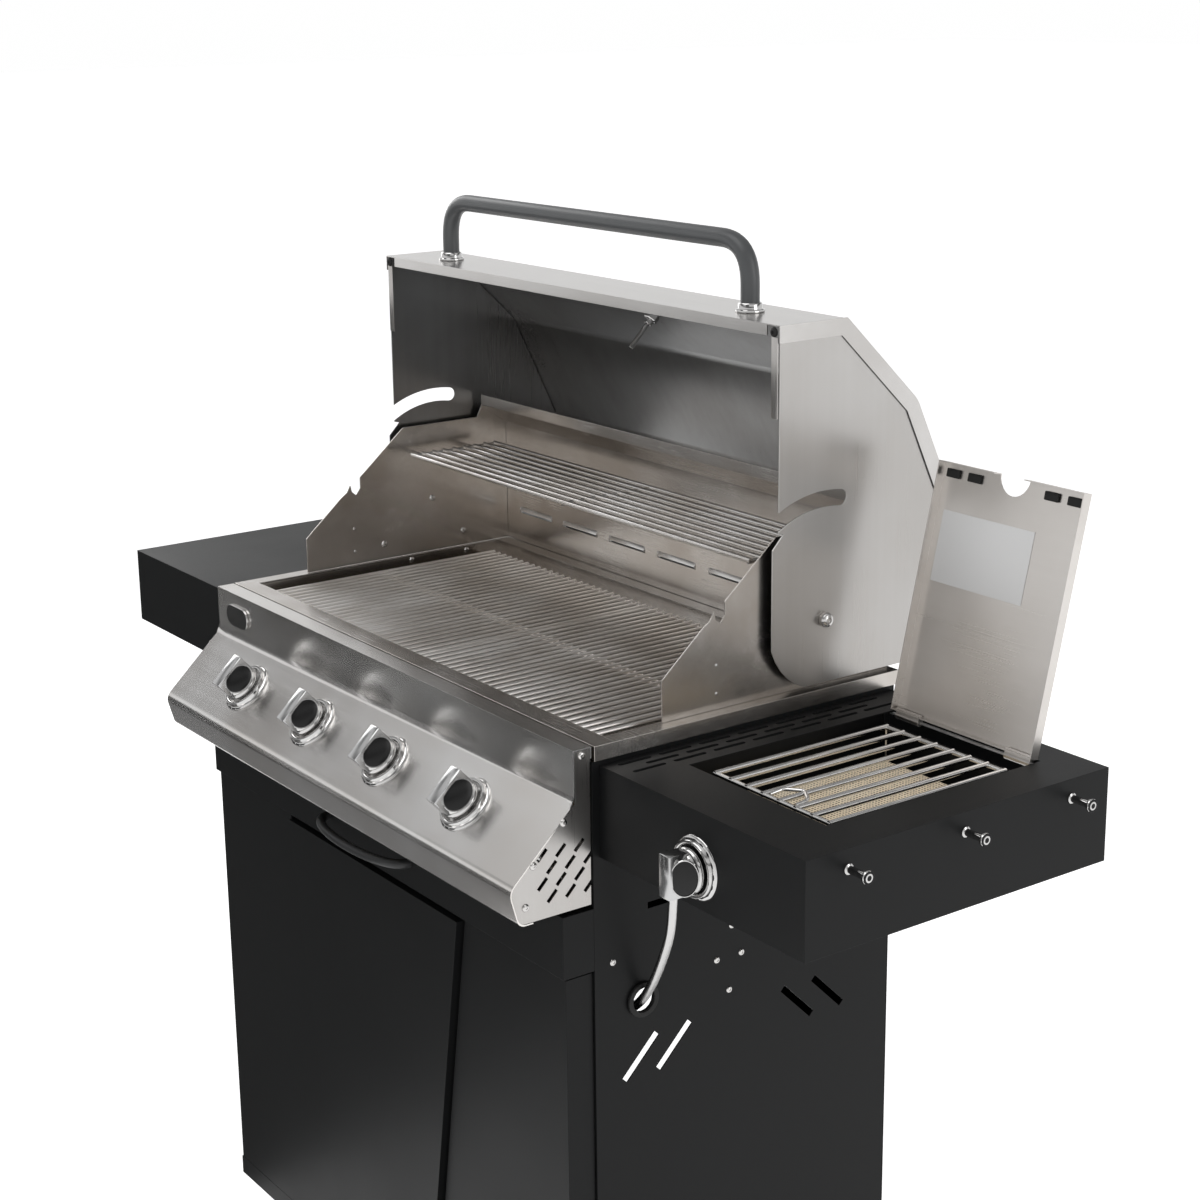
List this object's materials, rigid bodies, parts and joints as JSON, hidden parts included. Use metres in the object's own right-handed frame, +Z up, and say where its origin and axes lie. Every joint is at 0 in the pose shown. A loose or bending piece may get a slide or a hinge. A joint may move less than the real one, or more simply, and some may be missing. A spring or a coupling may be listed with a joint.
{
  "type": "gas barbecue grill",
  "caption": "Gas barbecue on a cabinet cart with an open hood, grates, warming rack, control knobs, side shelves, and a lidded side burner with its gas hose.",
  "frame": {"origin": "on the floor, in the middle of the whole footprint, tool pegs included", "axes": "+X towards the side burner, +Y from the control panel to the back, +Z up"},
  "size_m": [1.3982, 0.5898, 1.368],
  "materials": {
    "brushed_stainless": "satin brushed, some heat tint",
    "grate_steel": "satin, lightly seasoned",
    "hose_steel": "corrugated, satin",
    "chrome_plate": "polished",
    "black_powder_coat": "fine texture, semi-matt",
    "grey_coated_tube": "semi-gloss",
    "galvanised_steel": "zinc, dull",
    "brass": "machined",
    "burner_ceramic": "matt",
    "caster_rubber": "matt"
  },
  "bodies": {
    "cart": {"cart_base": "black_powder_coat", "side_panel_left": "black_powder_coat", "side_panel_right": "black_powder_coat", "rear_panel": "black_powder_coat", "front_frame": "black_powder_coat", "firebox_tub": "galvanised_steel", "rim_frame": "brushed_stainless", "firebox_side_left": "brushed_stainless", "firebox_side_right": "brushed_stainless", "back_wall": "brushed_stainless", "burner_tube_1": "brushed_stainless", "burner_tube_2": "brushed_stainless", "burner_tube_3": "brushed_stainless", "burner_tube_4": "brushed_stainless", "heat_tents": "brushed_stainless", "fascia": "brushed_stainless", "fascia_end_left": "brushed_stainless", "fascia_end_right": "brushed_stainless", "badge": "chrome_plate", "gas_manifold": "brass", "side_valve": "brass", "shelf_left": "black_powder_coat", "shelf_right": "black_powder_coat", "burner_bowl": "galvanised_steel", "ceramic_burner": "burner_ceramic", "trivet": "chrome_plate", "lid_hinge_rod": "galvanised_steel", "gas_hose": "hose_steel", "hose_grommet": "caster_rubber"},
    "hood": {"hood_skin": "brushed_stainless", "hood_side_left": "brushed_stainless", "hood_side_right": "brushed_stainless", "hood_handle": "grey_coated_tube", "thermometer": "brushed_stainless"},
    "burner_lid": {"burner_lid": "brushed_stainless"},
    "door": {"door": "black_powder_coat"},
    "tray": {"grease_tray": "galvanised_steel", "tray_front": "black_powder_coat", "tray_handle": "grey_coated_tube"},
    "cooking_grate_left": {"cooking_grate_left": "grate_steel"},
    "cooking_grate_right": {"cooking_grate_right": "grate_steel"},
    "warming_rack": {"warming_rack": "chrome_plate"},
    "stem_1": {"valve_stem_1": "galvanised_steel"},
    "knob_1": {"knob_1": "chrome_plate"},
    "stem_2": {"valve_stem_2": "galvanised_steel"},
    "knob_2": {"knob_2": "chrome_plate"},
    "stem_3": {"valve_stem_3": "galvanised_steel"},
    "knob_3": {"knob_3": "chrome_plate"},
    "stem_4": {"valve_stem_4": "galvanised_steel"},
    "knob_4": {"knob_4": "chrome_plate"},
    "stem_side": {"valve_stem_side": "galvanised_steel"},
    "knob_side": {"knob_side": "chrome_plate"},
    "caster_front_left": {"caster_fork_front_left": "galvanised_steel"},
    "wheel_front_left": {"caster_wheel_front_left": "caster_rubber"},
    "caster_front_right": {"caster_fork_front_right": "galvanised_steel"},
    "wheel_front_right": {"caster_wheel_front_right": "caster_rubber"},
    "caster_rear_left": {"caster_fork_rear_left": "galvanised_steel"},
    "wheel_rear_left": {"caster_wheel_rear_left": "caster_rubber"},
    "caster_rear_right": {"caster_fork_rear_right": "galvanised_steel"},
    "wheel_rear_right": {"caster_wheel_rear_right": "caster_rubber"}
  },
  "joints": [
    {"name": "hood_hinge", "type": "hinge", "parent": "cart", "child": "hood", "pos_m": [-0.01375, 0.10429, 0.9744], "axis": [1, 0, 0], "range_deg": [0, 90]},
    {"name": "burner_lid_hinge", "type": "hinge", "parent": "cart", "child": "burner_lid", "pos_m": [0.51955, 0.15389, 0.876], "axis": [1, 0, 0], "range_deg": [0, 103.2]},
    {"name": "door_hinge", "type": "hinge", "parent": "cart", "child": "door", "pos_m": [-0.10675, -0.22411, 0.42], "axis": [0, 0, -1], "range_deg": [0, 105]},
    {"name": "tray_slide", "type": "slide", "parent": "cart", "child": "tray", "axis": [0, -1, 0], "range_m": [0, 0.3]},
    {"name": "grate_left_lift", "type": "slide", "parent": "cart", "child": "cooking_grate_left", "axis": [0, 0, 1], "range_m": [0, 0.05]},
    {"name": "grate_right_lift", "type": "slide", "parent": "cart", "child": "cooking_grate_right", "axis": [0, 0, 1], "range_m": [0, 0.05]},
    {"name": "rack_lift", "type": "slide", "parent": "cart", "child": "warming_rack", "axis": [0, 0, 1], "range_m": [0, 0.03]},
    {"name": "knob_1_push", "type": "slide", "parent": "cart", "child": "stem_1", "axis": [0, 0.6872, -0.7265], "range_m": [0, 0.003], "stiffness_N_per_m": 1200, "springref_m": -0.002},
    {"name": "knob_1_turn", "type": "hinge", "parent": "stem_1", "child": "knob_1", "pos_m": [-0.25375, -0.25243, 0.81164], "axis": [0, -0.6872, 0.7265], "range_deg": [0, 180]},
    {"name": "knob_2_push", "type": "slide", "parent": "cart", "child": "stem_2", "axis": [0, 0.6872, -0.7265], "range_m": [0, 0.003], "stiffness_N_per_m": 1200, "springref_m": -0.002},
    {"name": "knob_2_turn", "type": "hinge", "parent": "stem_2", "child": "knob_2", "pos_m": [-0.09375, -0.25243, 0.81164], "axis": [0, -0.6872, 0.7265], "range_deg": [0, 180]},
    {"name": "knob_3_push", "type": "slide", "parent": "cart", "child": "stem_3", "axis": [0, 0.6872, -0.7265], "range_m": [0, 0.003], "stiffness_N_per_m": 1200, "springref_m": -0.002},
    {"name": "knob_3_turn", "type": "hinge", "parent": "stem_3", "child": "knob_3", "pos_m": [0.06625, -0.25243, 0.81164], "axis": [0, -0.6872, 0.7265], "range_deg": [0, 180]},
    {"name": "knob_4_push", "type": "slide", "parent": "cart", "child": "stem_4", "axis": [0, 0.6872, -0.7265], "range_m": [0, 0.003], "stiffness_N_per_m": 1200, "springref_m": -0.002},
    {"name": "knob_4_turn", "type": "hinge", "parent": "stem_4", "child": "knob_4", "pos_m": [0.22625, -0.25243, 0.81164], "axis": [0, -0.6872, 0.7265], "range_deg": [0, 180]},
    {"name": "knob_side_push", "type": "slide", "parent": "cart", "child": "stem_side", "axis": [0, 1, 0], "range_m": [0, 0.003], "stiffness_N_per_m": 1200, "springref_m": -0.002},
    {"name": "knob_side_turn", "type": "hinge", "parent": "stem_side", "child": "knob_side", "pos_m": [0.51955, -0.18611, 0.823], "axis": [0, -1, 0], "range_deg": [0, 180]},
    {"name": "caster_front_left_swivel", "type": "hinge", "parent": "cart", "child": "caster_front_left", "pos_m": [-0.34875, -0.18211, 0.06], "axis": [0, 0, 1], "continuous": true},
    {"name": "caster_front_left_spin", "type": "hinge", "parent": "caster_front_left", "child": "wheel_front_left", "pos_m": [-0.34875, -0.15811, 0.0375], "axis": [1, 0, 0], "continuous": true},
    {"name": "caster_front_right_swivel", "type": "hinge", "parent": "cart", "child": "caster_front_right", "pos_m": [0.32125, -0.18211, 0.06], "axis": [0, 0, 1], "continuous": true},
    {"name": "caster_front_right_spin", "type": "hinge", "parent": "caster_front_right", "child": "wheel_front_right", "pos_m": [0.32125, -0.15811, 0.0375], "axis": [1, 0, 0], "continuous": true},
    {"name": "caster_rear_left_swivel", "type": "hinge", "parent": "cart", "child": "caster_rear_left", "pos_m": [-0.34875, 0.14389, 0.06], "axis": [0, 0, 1], "continuous": true},
    {"name": "caster_rear_left_spin", "type": "hinge", "parent": "caster_rear_left", "child": "wheel_rear_left", "pos_m": [-0.34875, 0.16789, 0.0375], "axis": [1, 0, 0], "continuous": true},
    {"name": "caster_rear_right_swivel", "type": "hinge", "parent": "cart", "child": "caster_rear_right", "pos_m": [0.32125, 0.14389, 0.06], "axis": [0, 0, 1], "continuous": true},
    {"name": "caster_rear_right_spin", "type": "hinge", "parent": "caster_rear_right", "child": "wheel_rear_right", "pos_m": [0.32125, 0.16789, 0.0375], "axis": [1, 0, 0], "continuous": true}
  ]
}
